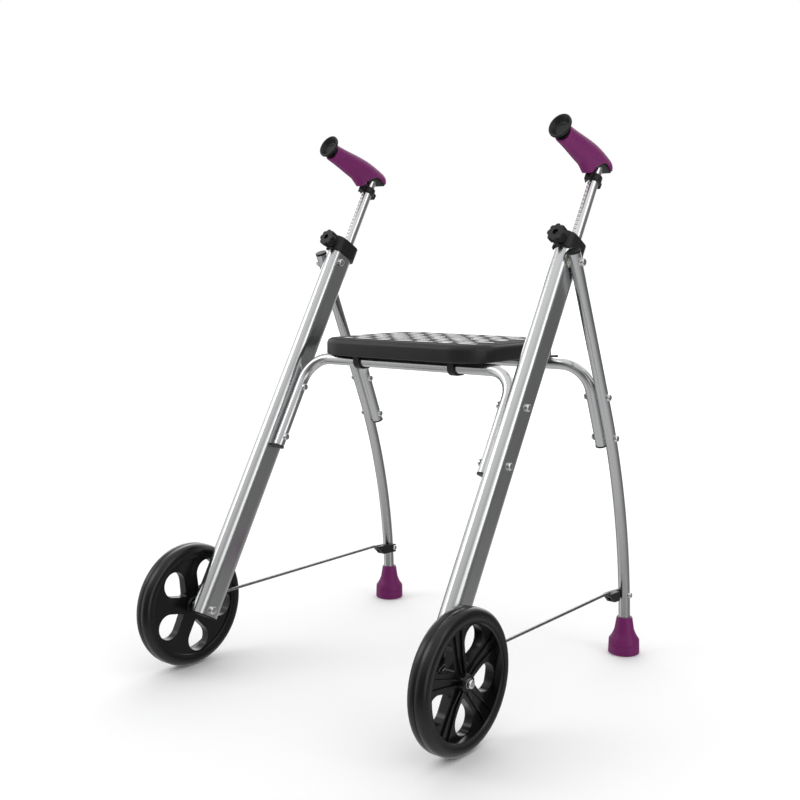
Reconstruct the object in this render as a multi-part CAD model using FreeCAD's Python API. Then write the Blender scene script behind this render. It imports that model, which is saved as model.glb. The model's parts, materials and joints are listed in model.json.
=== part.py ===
import FreeCAD, Part
import math
import os

from FreeCAD import Rotation, Vector

os.makedirs("parts", exist_ok=True)

# A folding walking frame on two front wheels and two rear rubber feet, with a
# flip-up seat. Millimetres. +Z is up, the wheels are at -Y, X runs across.
# The left side is -X. Every side piece is drawn on the right and mirrored.

# Driving dimensions
WHEEL_RADIUS = 100.0
WHEEL_WIDTH = 31.0
WHEEL_X = 272.5
AXLE_Y = -210.0
FRONT_LEAN = math.radians(29.9)
FRONT_LEG_X = 231.8
FRONT_LEG_WIDTH = 28.6
FRONT_LEG_DEPTH = 50.0
FRONT_LEG_WALL = 1.8
FRONT_LEG_BOTTOM = -10.5
FRONT_LEG_TOP = 660.0
TUBE_RADIUS = 9.5
TUBE_WALL = 1.5
REAR_LEG_X = 256.6
FOOT_Y = 284.0
FOOT_RADIUS = 26.0
FOOT_HEIGHT = 62.0
REAR_BEND_RADIUS = 1006.0
REAR_BEND_START_Z = 23.0
REAR_LEAN = math.radians(23.3)
REAR_LEG_TOP_Z = 668.0
REAR_LEG_BOTTOM_Z = 18.0
PIVOT_ALONG = 635.8
PIVOT_DEPTH = -5.6
CROSSBAR_ALONG = 453.0
U_BEND_RADIUS = 44.0
FRONT_U_END = 289.0
FRONT_BOLTS_ALONG = (305.6, 397.4)
REAR_CROSSBAR_Z = 493.2
REAR_BOLTS_Z = (373.3, 441.9)
REAR_U_END_Z = 361.0
SEAT_HALF_WIDTH = 165.0
SEAT_FRONT_Y = -25.0
SEAT_REAR_Y = 226.0
SEAT_BOTTOM_Z = 503.0
SEAT_THICKNESS = 27.0
SEAT_CORNER = 56.0
STEM_DEPTH = 9.5
STEM_BOTTOM = 508.0
STEM_TOP = 826.0
GRIP_TILT = math.radians(20.0)
GRIP_FRONT_Y = 86.0
GRIP_FRONT_Z = 849.5
GRIP_LENGTH = 160.0
GRIP_OVAL = 0.9
RING_TILT = math.radians(30.0)
RING_FRONT_Y = 88.5
RING_FRONT_Z = 855.3
RING_RADIUS = 20.4
BRACE_X = 250.0
BRACE_Z = 112.0
BRACE_RADIUS = 2.5
FIT = 0.06

LEAN_SIN = math.sin(FRONT_LEAN)
LEAN_COS = math.cos(FRONT_LEAN)
SIDES = {"left": -1, "right": 1}


# Shared helpers

def on_leg(along, depth, x=FRONT_LEG_X):
    """A point given along the front leg from the axle and in depth, rearward positive."""
    y = AXLE_Y + LEAN_SIN * along + LEAN_COS * depth
    z = WHEEL_RADIUS + LEAN_COS * along - LEAN_SIN * depth
    return Vector(x, y, z)


def rear_leg_y(z):
    """Depth of the rear leg's centre line at a height."""
    bend_top = REAR_BEND_START_Z + REAR_BEND_RADIUS * math.sin(REAR_LEAN)
    if z <= REAR_BEND_START_Z:
        return FOOT_Y
    if z <= bend_top:
        turn = math.asin((z - REAR_BEND_START_Z) / REAR_BEND_RADIUS)
        return FOOT_Y - REAR_BEND_RADIUS * (1 - math.cos(turn))
    straight_from = FOOT_Y - REAR_BEND_RADIUS * (1 - math.cos(REAR_LEAN))
    return straight_from - (z - bend_top) * math.tan(REAR_LEAN)


def rod(start, end, radius):
    """A round bar between two points."""
    axis = end.sub(start)
    return Part.makeCylinder(radius, axis.Length, start, axis)


def cross_rod(x_from, x_to, y, z, radius):
    """A round bar that runs across, along X."""
    return rod(Vector(x_from, y, z), Vector(x_to, y, z), radius)


def box(x_from, x_to, y_from, y_to, z_from, z_to):
    """A box between two corners."""
    size = (x_to - x_from, y_to - y_from, z_to - z_from)
    return Part.makeBox(*size, Vector(x_from, y_from, z_from))


def mirrored(shape):
    """The same piece on the left side."""
    return shape.mirror(Vector(0, 0, 0), Vector(1, 0, 0))


def sided(shape, sign):
    """A piece drawn on the right, put on the side wanted."""
    return shape if sign > 0 else mirrored(shape)


def both(shape):
    """A right piece and its mirror image, as one group of separate solids."""
    return Part.makeCompound([shape, mirrored(shape)])


def save(shape, name):
    """Writes one sub-part and says how large it is."""
    shape.exportStep("parts/" + name + ".step")
    print(name, len(shape.Solids), round(shape.Volume), shape.isValid())


def bevelled(shape, radius, wanted):
    """Rounds the edges that a test picks out."""
    edges = [edge for edge in shape.Edges if wanted(edge)]
    return shape.makeFillet(radius, edges)


def obround(width, depth, along_from, along_to, depth_shift=0.0):
    """A flat-sided bar with round front and back, standing along the front leg."""
    half = width / 2
    flat = depth / 2 - half
    front_left = Vector(-half, -flat, 0)
    front_right = Vector(half, -flat, 0)
    rear_right = Vector(half, flat, 0)
    rear_left = Vector(-half, flat, 0)
    outline = Part.Wire([
        Part.Arc(front_left, Vector(0, -flat - half, 0), front_right).toShape(),
        Part.makeLine(front_right, rear_right),
        Part.Arc(rear_right, Vector(0, flat + half, 0), rear_left).toShape(),
        Part.makeLine(rear_left, front_left),
    ])
    bar = Part.Face(outline).extrude(Vector(0, 0, along_to - along_from))
    turn = Rotation(Vector(1, 0, 0), -math.degrees(FRONT_LEAN))
    bar.Placement = FreeCAD.Placement(on_leg(along_from, depth_shift), turn)
    return bar


def tube_along(path_edges, start, direction, radius):
    """A solid round bar swept along edges."""
    profile = Part.Wire([Part.makeCircle(radius, start, direction)])
    return Part.Wire(path_edges).makePipeShell([profile], True, False)


def hollow(path_edges, start, direction, radius, wall):
    """A round tube swept along edges."""
    outside = tube_along(path_edges, start, direction, radius)
    inside = tube_along(path_edges, start, direction, radius - wall)
    return outside.cut(inside)


def domed_head(x_face, y, z, radius, height, sign):
    """A bolt head with a domed top that stands off a face across X."""
    head = cross_rod(x_face, x_face + sign * height, y, z, radius)
    top = x_face + sign * height
    return bevelled(head, height * 0.6, lambda e: abs(e.CenterOfMass.x - top) < 0.01
                    and e.Length > 1 and abs(e.BoundBox.XLength) < 0.01)


def through_bolt(x_inner, x_outer, y, z, shank, head, height):
    """A bolt across X with a domed head outside; its nut is a piece of its own."""
    bolt = cross_rod(x_inner - height * 0.6, x_outer, y, z, shank)
    return bolt.fuse(domed_head(x_outer, y, z, head, height, 1))


def dome_nut(x_inner, y, z, shank, head, height):
    """A domed nut on the inner end of a bolt."""
    nut = domed_head(x_inner, y, z, head, height, -1)
    return nut.cut(cross_rod(x_inner - height * 0.6 - 0.1, x_inner + 1, y, z, shank + 0.02))


# Positions that several pieces share
PIVOT = on_leg(PIVOT_ALONG, PIVOT_DEPTH)
LEG_INNER = FRONT_LEG_X - FRONT_LEG_WIDTH / 2
LEG_OUTER = FRONT_LEG_X + FRONT_LEG_WIDTH / 2
FRONT_U_X = LEG_INNER - TUBE_RADIUS - 0.02
REAR_INNER = REAR_LEG_X - TUBE_RADIUS
REAR_OUTER = REAR_LEG_X + TUBE_RADIUS
REAR_U_X = REAR_INNER - TUBE_RADIUS - 0.02
CROSSBAR = on_leg(CROSSBAR_ALONG, 0, 0)
U_BOLT, U_HEAD, U_HEAD_HEIGHT = 3.0, 5.8, 4.2
PIVOT_BOLT, PIVOT_HEAD, PIVOT_HEAD_HEIGHT = 4.0, 6.5, 5.0
AXLE_BOLT, AXLE_HEAD, AXLE_HEAD_HEIGHT = 4.0, 6.6, 5.0
WHEEL_INNER = WHEEL_X - WHEEL_WIDTH / 2
WHEEL_OUTER = WHEEL_X + WHEEL_WIDTH / 2
REAR_BOLT_POINTS = [(rear_leg_y(z), z) for z in REAR_BOLTS_Z]
BRACKET_BOLT = (rear_leg_y(101.0), 101.0)
BRACE_PIVOT = (244.0, 105.0)
COLLAR_FROM, COLLAR_TO = 652.8, 678.0
REAR_TOP_REACH = 22.9
KNOB_ALONG = 664.7


# Front frame

def front_leg():
    """Flat-sided tube with round front and back, drilled for its bolts."""
    inner_width = FRONT_LEG_WIDTH - 2 * FRONT_LEG_WALL
    inner_depth = FRONT_LEG_DEPTH - 2 * FRONT_LEG_WALL
    leg = obround(FRONT_LEG_WIDTH, FRONT_LEG_DEPTH, FRONT_LEG_BOTTOM, FRONT_LEG_TOP)
    leg = leg.cut(obround(inner_width, inner_depth, FRONT_LEG_BOTTOM - 1, FRONT_LEG_TOP + 1))
    holes = [(on_leg(along, 0), U_BOLT) for along in FRONT_BOLTS_ALONG]
    holes += [(PIVOT, PIVOT_BOLT), (on_leg(0, 0), AXLE_BOLT)]
    for point, radius in holes:
        leg = leg.cut(cross_rod(LEG_INNER - 1, LEG_OUTER + 1, point.y, point.z, radius + FIT))
    return leg


def front_leg_plug():
    """Black plug pushed into the leg's lower end, with a thin rim below it."""
    rim = obround(FRONT_LEG_WIDTH - 0.4, FRONT_LEG_DEPTH - 0.4, FRONT_LEG_BOTTOM - 2, FRONT_LEG_BOTTOM - 0.05)
    inner_width = FRONT_LEG_WIDTH - 2 * FRONT_LEG_WALL - 0.1
    inner_depth = FRONT_LEG_DEPTH - 2 * FRONT_LEG_WALL - 0.1
    core = obround(inner_width, inner_depth, FRONT_LEG_BOTTOM - 1, 22)
    axle = on_leg(0, 0)
    return rim.fuse(core).cut(cross_rod(0, 300, axle.y, axle.z, AXLE_BOLT + FIT))


def u_path(x, top, end, bend):
    """Edges of an upturned U: two legs, two bends and the crossbar between them."""
    down = end.sub(top).normalize()
    middle = bend * math.sin(math.radians(45))
    rest = bend - middle
    corners = []
    for sign in (-1, 1):
        leg_start = Vector(sign * x, top.y, top.z).add(down * bend)
        leg_end = Vector(sign * x, end.y, end.z)
        bar_end = Vector(sign * (x - bend), top.y, top.z)
        through = Vector(sign * (x - rest), top.y, top.z).add(down * rest)
        corners.append((leg_end, leg_start, through, bar_end))
    left, right = corners
    return [
        Part.makeLine(left[0], left[1]),
        Part.Arc(left[1], left[2], left[3]).toShape(),
        Part.makeLine(left[3], right[3]),
        Part.Arc(right[3], right[2], right[1]).toShape(),
        Part.makeLine(right[1], right[0]),
    ]


def u_tube(x, top, end, bolt_points):
    """A U bent from round tube and drilled for the bolts that hold it."""
    edges = u_path(x, top, end, U_BEND_RADIUS)
    start = Vector(-x, end.y, end.z)
    tube = hollow(edges, start, top.sub(end), TUBE_RADIUS, TUBE_WALL)
    for y, z in bolt_points:
        tube = tube.cut(cross_rod(-x - 20, -x + 20, y, z, U_BOLT + FIT))
        tube = tube.cut(cross_rod(x - 20, x + 20, y, z, U_BOLT + FIT))
    return tube


def tube_plug(end, direction, flat_x):
    """Plug for an open tube end: a flange, flat beside the leg, and a core inside."""
    out = Vector(direction).normalize()
    flange = rod(end.add(out * 0.05), end.add(out * 2.4), TUBE_RADIUS + 0.6)
    flange = flange.cut(box(flat_x, flat_x + 10, end.y - 20, end.y + 20, end.z - 20, end.z + 20))
    core = rod(end.sub(out * 9), end.add(out * 1), TUBE_RADIUS - TUBE_WALL - 0.05)
    return flange.fuse(core)


def front_u_points():
    """Depth and height of the bolts that hold the front U."""
    points = [on_leg(along, 0) for along in FRONT_BOLTS_ALONG]
    return [(point.y, point.z) for point in points]


def front_u_bolt_group():
    """The four long bolts through the front legs and the front U."""
    bolts = [through_bolt(FRONT_U_X - TUBE_RADIUS, LEG_OUTER, y, z, U_BOLT, U_HEAD, U_HEAD_HEIGHT)
             for y, z in front_u_points()]
    return Part.makeCompound(bolts + [mirrored(bolt) for bolt in bolts])


def front_u_nut_group():
    """Domed nuts on the inner ends of the front U's bolts."""
    nuts = [dome_nut(FRONT_U_X - TUBE_RADIUS, y, z, U_BOLT, U_HEAD, U_HEAD_HEIGHT)
            for y, z in front_u_points()]
    return Part.makeCompound(nuts + [mirrored(nut) for nut in nuts])


# Axles and wheels

def axle_spacer():
    """Sleeve between the front leg and the wheel, which the brace hooks over."""
    sleeve = cross_rod(LEG_OUTER + 0.05, WHEEL_INNER - 0.35, AXLE_Y, WHEEL_RADIUS, 9.0)
    return sleeve.cut(cross_rod(LEG_OUTER - 1, WHEEL_INNER + 1, AXLE_Y, WHEEL_RADIUS, AXLE_BOLT + FIT))


def axle_bolt():
    """Bolt through the wheel, the spacer and the leg."""
    return through_bolt(LEG_INNER, WHEEL_OUTER + 0.4, AXLE_Y, WHEEL_RADIUS, AXLE_BOLT, AXLE_HEAD,
                        AXLE_HEAD_HEIGHT)


def axle_nut():
    """Domed nut on the inner side of the leg."""
    return dome_nut(LEG_INNER, AXLE_Y, WHEEL_RADIUS, AXLE_BOLT, AXLE_HEAD, AXLE_HEAD_HEIGHT)


def spun(points, x_centre):
    """A ring spun about the axle from (x, radius) points of its section."""
    corners = [Vector(x_centre + x, AXLE_Y, WHEEL_RADIUS + radius) for x, radius in points]
    section = Part.Face(Part.makePolygon(corners + corners[:1]))
    return section.revolve(Vector(x_centre, AXLE_Y, WHEEL_RADIUS), Vector(1, 0, 0), 360)


RIM_RADIUS = 84.0
GROOVE_HALF = 2.2
GROOVE_DEPTH = 2.5


def tyre():
    """Solid tyre with rounded shoulders and one groove round its middle."""
    half = WHEEL_WIDTH / 2
    ring = Part.makeCylinder(WHEEL_RADIUS, WHEEL_WIDTH, Vector(WHEEL_X - half, AXLE_Y, WHEEL_RADIUS),
                             Vector(1, 0, 0))
    ring = bevelled(ring, 9.8, lambda e: e.BoundBox.XLength < 0.01)
    ring = ring.cut(cross_rod(WHEEL_X - half - 1, WHEEL_X + half + 1, AXLE_Y, WHEEL_RADIUS, RIM_RADIUS))
    groove = spun([(-GROOVE_HALF, WHEEL_RADIUS + 1), (-GROOVE_HALF * 0.6, WHEEL_RADIUS - GROOVE_DEPTH),
                   (GROOVE_HALF * 0.6, WHEEL_RADIUS - GROOVE_DEPTH), (GROOVE_HALF, WHEEL_RADIUS + 1)],
                  WHEEL_X)
    return ring.cut(groove)


SPOKES = 5
HUB_PHASE = 119.0
BARREL_RADIUS = 79.0
BOSS_RADIUS = 13.0
WINDOW_TIP_RADIUS = 23.0
WINDOW_FAR_RADIUS = 57.5
WINDOW_END_RADIUS = 20.5
WEB_BACK, WEB_FRONT = -11.5, 2.0


def hub_window(angle):
    """One teardrop opening through the web, its point towards the boss."""
    reach = WINDOW_FAR_RADIUS - WINDOW_TIP_RADIUS
    turn = math.acos(WINDOW_END_RADIUS / reach)
    across = WINDOW_END_RADIUS * math.sin(turn)
    up = WINDOW_FAR_RADIUS - WINDOW_END_RADIUS * math.cos(turn)
    tip = Vector(0, 0, WINDOW_TIP_RADIUS)
    top = Vector(0, 0, WINDOW_FAR_RADIUS + WINDOW_END_RADIUS)
    left, right = Vector(0, -across, up), Vector(0, across, up)
    outline = Part.Wire([Part.makeLine(tip, left), Part.Arc(left, top, right).toShape(),
                         Part.makeLine(right, tip)])
    window = Part.Face(outline).extrude(Vector(WHEEL_WIDTH + 20, 0, 0))
    window = bevelled(window, 3.0, lambda e: e.BoundBox.YLength < 0.01 and e.BoundBox.ZLength < 0.01
                      and abs(e.CenterOfMass.z - WINDOW_TIP_RADIUS) < 0.01)
    window.translate(Vector(WHEEL_INNER - 10, AXLE_Y, WHEEL_RADIUS))
    window.rotate(Vector(0, AXLE_Y, WHEEL_RADIUS), Vector(1, 0, 0), angle)
    return window


def wheel_hub():
    """Moulded hub: rim barrel, deep web with five windows, ribs and a boss."""
    edge = WHEEL_WIDTH / 2 - 1.0
    barrel = spun([(-edge, RIM_RADIUS - 0.02), (edge, RIM_RADIUS - 0.02), (edge, BARREL_RADIUS + 1.5),
                   (edge - 1.5, BARREL_RADIUS), (1.5 - edge, BARREL_RADIUS), (-edge, BARREL_RADIUS + 1.5)],
                  WHEEL_X)
    web = spun([(WEB_BACK, BOSS_RADIUS - 1), (WEB_FRONT + 1.5, BOSS_RADIUS - 1), (WEB_FRONT, 40),
                (WEB_FRONT, BARREL_RADIUS + 1), (WEB_BACK, BARREL_RADIUS + 1)], WHEEL_X)
    half = WHEEL_WIDTH / 2
    boss = spun([(0.1 - half, 7.0), (half - 0.1, 7.0), (half - 0.1, BOSS_RADIUS - 1.5),
                 (half - 2.5, BOSS_RADIUS), (WEB_BACK, BOSS_RADIUS + 2), (0.1 - half, BOSS_RADIUS)], WHEEL_X)
    turns = [HUB_PHASE + index * 360 / SPOKES for index in range(SPOKES)]
    for turn in turns:
        web = web.cut(hub_window(90 - turn))
    hub = barrel.fuse(web).fuse(boss)
    for turn in turns:
        for lean in (-4.0, 4.0):
            hub = hub.fuse(spoke_rib(90 - turn + 180 / SPOKES, lean))
    return hub.removeSplitter()


def spoke_rib(angle, lean):
    """One of the two ribs that fork along a spoke from the boss to the rim."""
    inner, outer, half = BOSS_RADIUS - 1.5, BARREL_RADIUS + 1, 1.2
    shift = half * 3 * (1 if lean > 0 else -1)
    corners = [Vector(0, -half, inner), Vector(WEB_FRONT + 6, -half, inner),
               Vector(WEB_FRONT + 2.5, -half, 36), Vector(WEB_FRONT + 2.5, -half, outer),
               Vector(0, -half, outer)]
    rib = Part.Face(Part.makePolygon(corners + corners[:1])).extrude(Vector(0, 2 * half, 0))
    rib.translate(Vector(0, -shift, 0))
    rib.rotate(Vector(0, -shift, inner), Vector(1, 0, 0), lean)
    rib.translate(Vector(WHEEL_X, AXLE_Y, WHEEL_RADIUS))
    rib.rotate(Vector(0, AXLE_Y, WHEEL_RADIUS), Vector(1, 0, 0), angle)
    return rib


def wheel_bush():
    """Plain bearing pressed into the hub's boss."""
    bush = cross_rod(WHEEL_INNER + 0.1, WHEEL_OUTER - 0.1, AXLE_Y, WHEEL_RADIUS, 6.98)
    return bush.cut(cross_rod(WHEEL_INNER - 1, WHEEL_OUTER + 1, AXLE_Y, WHEEL_RADIUS, AXLE_BOLT + FIT))


# Rear frame

def rear_leg_edges():
    """Edges of the rear leg's centre line from the foot to the top."""
    bend_top = REAR_BEND_START_Z + REAR_BEND_RADIUS * math.sin(REAR_LEAN)
    middle = REAR_BEND_START_Z + REAR_BEND_RADIUS * math.sin(REAR_LEAN / 2)

    def point(z):
        return Vector(REAR_LEG_X, rear_leg_y(z), z)
    bend = Part.Arc(point(REAR_BEND_START_Z), point(middle), point(bend_top)).toShape()
    low = Part.makeLine(point(REAR_LEG_BOTTOM_Z), point(REAR_BEND_START_Z))
    high = Part.makeLine(point(bend_top), point(REAR_LEG_TOP_Z))
    return [low, bend, high]


def rear_leg():
    """Round tube, upright at the foot and bent forward to the pivot."""
    start = Vector(REAR_LEG_X, FOOT_Y, REAR_LEG_BOTTOM_Z)
    leg = hollow(rear_leg_edges(), start, Vector(0, 0, 1), TUBE_RADIUS, TUBE_WALL)
    holes = [(y, z, U_BOLT + FIT) for y, z in REAR_BOLT_POINTS + [BRACKET_BOLT]]
    holes.append((PIVOT.y, PIVOT.z, 6.0))
    for y, z, radius in holes:
        leg = leg.cut(cross_rod(REAR_INNER - 1, REAR_OUTER + 1, y, z, radius))
    return leg


def rear_leg_cap():
    """Plug with a rim in the rear leg's top end."""
    direction = Vector(0, -math.sin(REAR_LEAN), math.cos(REAR_LEAN))
    end = Vector(REAR_LEG_X, rear_leg_y(REAR_LEG_TOP_Z), REAR_LEG_TOP_Z)
    flange = rod(end.add(direction * 0.05), end.add(direction * 4), TUBE_RADIUS + 0.3)
    core = rod(end.sub(direction * 5), end.add(direction * 1), TUBE_RADIUS - TUBE_WALL - 0.05)
    return flange.fuse(core)


def ferrule():
    """Bell-shaped rubber foot with a socket for the leg."""
    points = [Vector(0, 0, 0), Vector(FOOT_RADIUS - 1.5, 0, 0), Vector(FOOT_RADIUS, 0, 2.0),
              Vector(FOOT_RADIUS - 0.6, 0, 24.0)]
    shoulder = Part.Arc(points[3], Vector(19.6, 0, 33.0), Vector(16.3, 0, 41.0)).toShape()
    sleeve = [Vector(16.3, 0, 41.0), Vector(12.8, 0, FOOT_HEIGHT), Vector(9.6, 0, FOOT_HEIGHT),
              Vector(9.6, 0, REAR_LEG_BOTTOM_Z - 0.1), Vector(0, 0, REAR_LEG_BOTTOM_Z - 0.1), Vector(0, 0, 0)]
    edges = [Part.makeLine(a, b) for a, b in zip(points, points[1:])]
    edges.append(shoulder)
    edges += [Part.makeLine(a, b) for a, b in zip(sleeve, sleeve[1:])]
    bell = Part.Face(Part.Wire(edges)).revolve(Vector(0, 0, 0), Vector(0, 0, 1), 360)
    bell.translate(Vector(REAR_LEG_X, FOOT_Y, 0))
    return bell.cut(tube_along(rear_leg_edges(), Vector(REAR_LEG_X, FOOT_Y, REAR_LEG_BOTTOM_Z),
                               Vector(0, 0, 1), TUBE_RADIUS + 0.05))


def rear_u_line(z):
    """Depth of the rear U's legs at a height, in line with its bolts."""
    (low_y, low_z), (high_y, high_z) = REAR_BOLT_POINTS
    return low_y + (z - low_z) * (high_y - low_y) / (high_z - low_z)


def rear_u_ends():
    """Crossbar height point and leg end point of the rear U, at X zero."""
    top = Vector(0, rear_u_line(REAR_CROSSBAR_Z), REAR_CROSSBAR_Z)
    end = Vector(0, rear_u_line(REAR_U_END_Z), REAR_U_END_Z)
    return top, end


def rear_u_bolt_group():
    """The four bolts through the rear legs and the rear U."""
    bolts = [through_bolt(REAR_U_X - TUBE_RADIUS, REAR_OUTER, y, z, U_BOLT, U_HEAD, U_HEAD_HEIGHT)
             for y, z in REAR_BOLT_POINTS]
    return Part.makeCompound(bolts + [mirrored(bolt) for bolt in bolts])


def rear_u_nut_group():
    """Domed nuts on the inner ends of the rear U's bolts."""
    nuts = [dome_nut(REAR_U_X - TUBE_RADIUS, y, z, U_BOLT, U_HEAD, U_HEAD_HEIGHT)
            for y, z in REAR_BOLT_POINTS]
    return Part.makeCompound(nuts + [mirrored(nut) for nut in nuts])


def pivot_bolt():
    """Bolt that joins the front and the rear leg; the frame folds about it."""
    return through_bolt(LEG_INNER, REAR_OUTER + 0.35, PIVOT.y, PIVOT.z, PIVOT_BOLT, PIVOT_HEAD,
                        PIVOT_HEAD_HEIGHT)


def pivot_nut():
    """Domed nut on the front leg's inner side."""
    return dome_nut(LEG_INNER, PIVOT.y, PIVOT.z, PIVOT_BOLT, PIVOT_HEAD, PIVOT_HEAD_HEIGHT)


def pivot_bush():
    """Plastic sleeve in the rear leg that turns on the pivot bolt."""
    bush = cross_rod(REAR_INNER, REAR_OUTER, PIVOT.y, PIVOT.z, 5.98)
    return bush.cut(cross_rod(REAR_INNER - 1, REAR_OUTER + 1, PIVOT.y, PIVOT.z, PIVOT_BOLT + FIT))


def pivot_washer():
    """Thin slip washer between the front and the rear leg."""
    washer = cross_rod(LEG_OUTER + 0.02, REAR_INNER - 0.3, PIVOT.y, PIVOT.z, 8.5)
    return washer.cut(cross_rod(LEG_OUTER - 1, REAR_INNER + 1, PIVOT.y, PIVOT.z, PIVOT_BOLT + FIT))


# Side braces

BRACKET_INNER = REAR_INNER - 5.0
BRACKET_FACE = REAR_INNER - 0.05
BRACKET_CHEEK = REAR_INNER + 8.9
SLOT_WIDTH = 5.8
KINK_RADIUS = 8.0


def bracket_slab(corners, x_from, x_to):
    """A flat plate across X from (depth, height) corners, its corners rounded."""
    points = [Vector(x_from, y, z) for y, z in corners]
    slab = Part.Face(Part.makePolygon(points + points[:1])).extrude(Vector(x_to - x_from, 0, 0))
    return bevelled(slab, 2.0, lambda e: e.BoundBox.YLength < 0.01 and e.BoundBox.ZLength < 0.01)


def brace_bracket():
    """Plastic arm on the rear leg, with a slotted nose that holds the brace's end."""
    plate = bracket_slab([(230.6, 111.5), (249.4, 94.3), (287, 92), (287, 107)], BRACKET_INNER, BRACKET_FACE)
    nose = bracket_slab([(230.6, 111.5), (249.4, 94.3), (268, 93), (268, 109)], BRACKET_INNER, BRACKET_CHEEK)
    slot = box(BRACE_X - SLOT_WIDTH / 2, BRACE_X + SLOT_WIDTH / 2, 220, BRACE_PIVOT[0] + 4.5, 85, 120)
    arm = plate.fuse(nose).cut(slot)
    arm = arm.cut(cross_rod(BRACKET_INNER - 1, BRACE_X, *BRACE_PIVOT, BRACE_RADIUS + 0.02 + FIT))
    return arm.cut(cross_rod(BRACKET_INNER - 1, REAR_INNER, *BRACKET_BOLT, U_BOLT + FIT)).removeSplitter()


def brace_rod():
    """Steel wire from the bracket to a hook that lies over the axle spacer."""
    hook_radius = 9.0 + 0.5 + BRACE_RADIUS
    top = Vector(BRACE_X, AXLE_Y, WHEEL_RADIUS + hook_radius)
    tip = Vector(BRACE_X, AXLE_Y - hook_radius, WHEEL_RADIUS)
    diagonal = hook_radius * math.cos(math.radians(45))
    middle = Vector(BRACE_X, AXLE_Y - diagonal, WHEEL_RADIUS + diagonal)
    kink = Vector(BRACE_X, BRACE_PIVOT[0] - 14, BRACE_Z)
    pin = Vector(BRACE_X, *BRACE_PIVOT)
    drop = pin.sub(kink).normalize()
    turn = math.acos(drop.y)
    reach = KINK_RADIUS * math.tan(turn / 2)
    bend_from = kink.sub(Vector(0, reach, 0))
    bend_to = kink.add(drop * reach)
    bend_middle = bend_from.add(Vector(0, math.sin(turn / 2), math.cos(turn / 2) - 1) * KINK_RADIUS)
    path = [Part.Arc(tip, middle, top).toShape(), Part.makeLine(top, bend_from),
            Part.Arc(bend_from, bend_middle, bend_to).toShape(), Part.makeLine(bend_to, pin)]
    wire = tube_along(path, tip, Vector(0, 0, 1), BRACE_RADIUS)
    return wire.fuse(cross_rod(BRACKET_INNER + 1, BRACE_X + BRACE_RADIUS + 0.1, *BRACE_PIVOT,
                               BRACE_RADIUS + 0.02)).removeSplitter()


def bracket_bolt():
    """Bolt through the bracket and the rear leg."""
    return through_bolt(BRACKET_INNER, REAR_OUTER, *BRACKET_BOLT, U_BOLT, 4.8, 3.8)


def bracket_nut():
    """Domed nut on the bracket's inner side."""
    return dome_nut(BRACKET_INNER, *BRACKET_BOLT, U_BOLT, 4.8, 3.8)


# Seat

def rounded_slab(x_half, y_from, y_to, z_from, z_to, corner):
    """A slab with rounded upright corners."""
    slab = box(-x_half, x_half, y_from, y_to, z_from, z_to)
    return bevelled(slab, corner, lambda e: e.BoundBox.ZLength > 1)


CLIP_X = 96.0
REST_X = 152.0
CLIP_WIDTH = 11.6
SEAT_SKIN = 4.0


def seat_board():
    """Moulded seat: a top with a deep rounded skirt, ribs and pads beneath."""
    top_z = SEAT_BOTTOM_Z + SEAT_THICKNESS
    board = rounded_slab(SEAT_HALF_WIDTH, SEAT_FRONT_Y, SEAT_REAR_Y, SEAT_BOTTOM_Z, top_z, SEAT_CORNER)
    board = bevelled(board, 9.0, lambda e: abs(e.BoundBox.ZMin - top_z) < 0.01)
    board = bevelled(board, 2.5, lambda e: abs(e.BoundBox.ZMax - SEAT_BOTTOM_Z) < 0.01)
    hollow_space = rounded_slab(SEAT_HALF_WIDTH - 2 * SEAT_SKIN, SEAT_FRONT_Y + 2 * SEAT_SKIN,
                                SEAT_REAR_Y - 2 * SEAT_SKIN, SEAT_BOTTOM_Z - 1, top_z - SEAT_SKIN,
                                SEAT_CORNER - 2 * SEAT_SKIN)
    keep = [box(-REST_X - 8, REST_X + 8, y - 2, y + 2, SEAT_BOTTOM_Z + 6, top_z) for y in (75, 115)]
    keep += [box(x - 2, x + 2, SEAT_FRONT_Y, SEAT_REAR_Y, SEAT_BOTTOM_Z + 6, top_z) for x in (-48, 0, 48)]
    for sign in (-1, 1):
        keep.append(box(sign * CLIP_X - 10, sign * CLIP_X + 10, SEAT_FRONT_Y, 48, SEAT_BOTTOM_Z, top_z))
        keep.append(box(sign * REST_X - 9, sign * REST_X + 9, 150, SEAT_REAR_Y, SEAT_BOTTOM_Z, top_z))
    for solid in keep:
        hollow_space = hollow_space.cut(solid)
    return board.cut(hollow_space).removeSplitter()


def seat_clip():
    """Strap under the crossbar that the seat turns on, with a foot and a lip."""
    outer, inner = TUBE_RADIUS + 3.5, TUBE_RADIUS + 0.08
    x_from, x_to = CLIP_X - CLIP_WIDTH / 2, CLIP_X + CLIP_WIDTH / 2
    underside = SEAT_BOTTOM_Z - 0.02
    strap = cross_rod(x_from, x_to, CROSSBAR.y, CROSSBAR.z, outer)
    strap = strap.fuse(box(x_from, x_to, CROSSBAR.y - outer, CROSSBAR.y + outer, CROSSBAR.z, underside))
    strap = strap.fuse(box(x_from, x_to, CROSSBAR.y, CROSSBAR.y + 28, underside - 3.2, underside))
    strap = strap.fuse(box(x_from, x_to, CROSSBAR.y, CROSSBAR.y + 16, CROSSBAR.z - outer,
                           CROSSBAR.z - outer + 2.6))
    strap = strap.common(box(x_from, x_to, -50, 100, CROSSBAR.z - outer, underside))
    strap = strap.cut(cross_rod(x_from - 1, x_to + 1, CROSSBAR.y, CROSSBAR.z, inner))
    strap = strap.cut(box(x_from - 1, x_to + 1, CROSSBAR.y - inner, CROSSBAR.y + inner, CROSSBAR.z,
                          underside + 1))
    strap = strap.cut(rod(Vector(CLIP_X, CROSSBAR.y + 21, 400), Vector(CLIP_X, CROSSBAR.y + 21, 600), 2.0))
    return strap.removeSplitter()


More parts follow.
